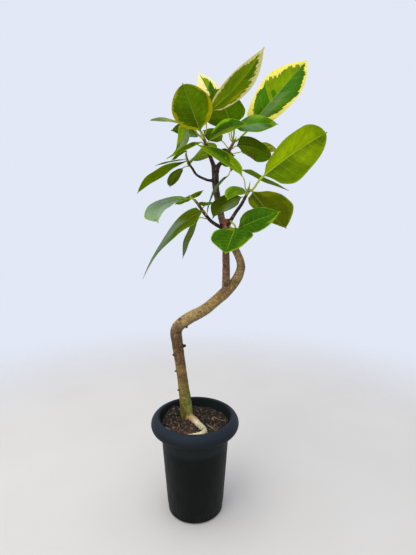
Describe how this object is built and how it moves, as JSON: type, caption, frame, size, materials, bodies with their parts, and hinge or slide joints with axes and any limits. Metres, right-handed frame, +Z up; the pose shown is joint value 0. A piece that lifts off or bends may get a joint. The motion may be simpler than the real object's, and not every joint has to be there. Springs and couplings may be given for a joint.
{
  "type": "potted plant",
  "caption": "Young crooked-stemmed fig tree with broad green and yellow-edged leaves, growing in a tall black nursery pot with a rolled rim.",
  "frame": {"origin": "middle of the pot's foot, on the surface it stands on", "axes": "+Z up along the plant, -Y towards the front that the picture shows, +X to the right seen from the front"},
  "size_m": [0.435, 0.3017, 1.2485],
  "materials": {
    "pot_plastic": "satin black moulded polypropylene",
    "soil": "loose potting mix of bark chips and pumice",
    "bark": "grey-brown bark, olive near the foot",
    "leaf_green": "glossy leathery leaves, some with yellow margins",
    "bud_green": "smooth pale green bud sheaths"
  },
  "bodies": {
    "root": {"pot": "pot_plastic", "soil": "soil", "wood": "bark", "leaf_01": "leaf_green", "leaf_02": "leaf_green", "leaf_03": "leaf_green", "leaf_04": "leaf_green", "leaf_05": "leaf_green", "leaf_06": "leaf_green", "leaf_07": "leaf_green", "leaf_08": "leaf_green", "leaf_09": "leaf_green", "leaf_10": "leaf_green", "leaf_11": "leaf_green", "leaf_12": "leaf_green", "leaf_13": "leaf_green", "leaf_14": "leaf_green", "leaf_15": "leaf_green", "leaf_16": "leaf_green", "leaf_17": "leaf_green", "leaf_18": "leaf_green", "leaf_19": "leaf_green", "leaf_20": "leaf_green", "leaf_21": "leaf_green", "leaf_22": "leaf_green", "leaf_23": "leaf_green", "leaf_24": "leaf_green", "leaf_25": "leaf_green", "leaf_26": "leaf_green", "leaf_27": "leaf_green", "leaf_28": "leaf_green", "leaf_29": "leaf_green", "leaf_30": "leaf_green", "leaf_31": "leaf_green", "leaf_32": "leaf_green", "leaf_33": "leaf_green", "leaf_34": "leaf_green", "bud_left": "bud_green", "bud_right": "bud_green", "bud_crown_left": "bud_green", "bud_crown_right": "bud_green"}
  },
  "joints": []
}
